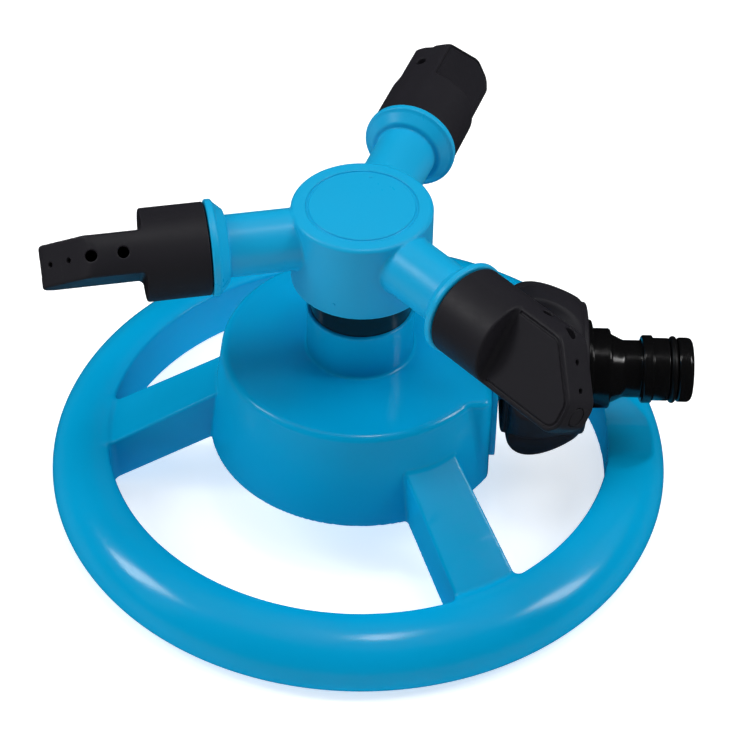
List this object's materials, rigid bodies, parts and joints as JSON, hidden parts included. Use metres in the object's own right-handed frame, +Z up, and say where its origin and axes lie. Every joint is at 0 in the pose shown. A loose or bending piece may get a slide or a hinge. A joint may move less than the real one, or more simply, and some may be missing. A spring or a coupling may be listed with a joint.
{
  "type": "lawn sprinkler",
  "caption": "Rotary lawn sprinkler: hollow arms with tilting flat nozzles spin on a domed ring base, fed through a swivel hose nut and quick-connect plug.",
  "frame": {"origin": "on the ground plane, under the middle of the overall length and width; the rotor's axis stands 2.1 mm from it along -X", "axes": "+Z up along the rotor's axis, +X along the hose inlet and out of the hose plug"},
  "size_m": [0.1642, 0.16, 0.0918],
  "materials": {
    "blue_plastic": "glossy injection-moulded polypropylene, sky blue",
    "black_plastic": "satin moulded black plastic with a fine grain",
    "black_gloss_plastic": "polished moulded black plastic",
    "rubber": "smooth black rubber",
    "acetal": "turned natural acetal",
    "steel": "stainless steel"
  },
  "bodies": {
    "base": {"base_frame": "blue_plastic", "bottom_cover": "blue_plastic", "cover_screws": "steel", "water_junction": "black_plastic", "junction_seal": "rubber", "inlet_spigot": "blue_plastic", "nut_clip": "steel", "pivot_seat": "black_plastic", "spindle": "acetal", "lower_washer": "acetal", "upper_washer": "acetal", "spindle_nut": "steel"},
    "hose_coupling": {"hose_nut": "black_plastic", "hose_washer": "rubber", "filter_screen": "steel", "quick_connector": "black_gloss_plastic", "connector_seal": "rubber"},
    "rotor": {"rotor": "blue_plastic", "hub_cap": "blue_plastic", "spindle_seal": "rubber", "nozzle_seal_1": "rubber", "nozzle_seal_2": "rubber", "nozzle_seal_3": "rubber", "nozzle_clip_1": "steel", "nozzle_clip_2": "steel", "nozzle_clip_3": "steel"},
    "nozzle_1": {"nozzle_1": "black_plastic", "nozzle_cover_1": "black_plastic", "nozzle_plug_1": "black_plastic"},
    "nozzle_2": {"nozzle_2": "black_plastic", "nozzle_cover_2": "black_plastic", "nozzle_plug_2": "black_plastic"},
    "nozzle_3": {"nozzle_3": "black_plastic", "nozzle_cover_3": "black_plastic", "nozzle_plug_3": "black_plastic"}
  },
  "joints": [
    {"name": "rotor_spin", "type": "hinge", "parent": "base", "child": "rotor", "pos_m": [-0.0021, 0, 0.08], "axis": [0, 0, 1], "continuous": true},
    {"name": "hose_nut_turn", "type": "hinge", "parent": "base", "child": "hose_coupling", "pos_m": [0.0459, 0, 0.03675], "axis": [1, 0, 0], "continuous": true},
    {"name": "nozzle_1_tilt", "type": "hinge", "parent": "rotor", "child": "nozzle_1", "pos_m": [-0.0462, -0.00897, 0.08], "axis": [-0.9799, -0.1994, 0], "continuous": true},
    {"name": "nozzle_2_tilt", "type": "hinge", "parent": "rotor", "child": "nozzle_2", "pos_m": [0.02772, -0.0337, 0.08], "axis": [0.6626, -0.749, 0], "continuous": true},
    {"name": "nozzle_3_tilt", "type": "hinge", "parent": "rotor", "child": "nozzle_3", "pos_m": [0.01218, 0.04267, 0.08], "axis": [0.3173, 0.9483, 0], "continuous": true}
  ]
}
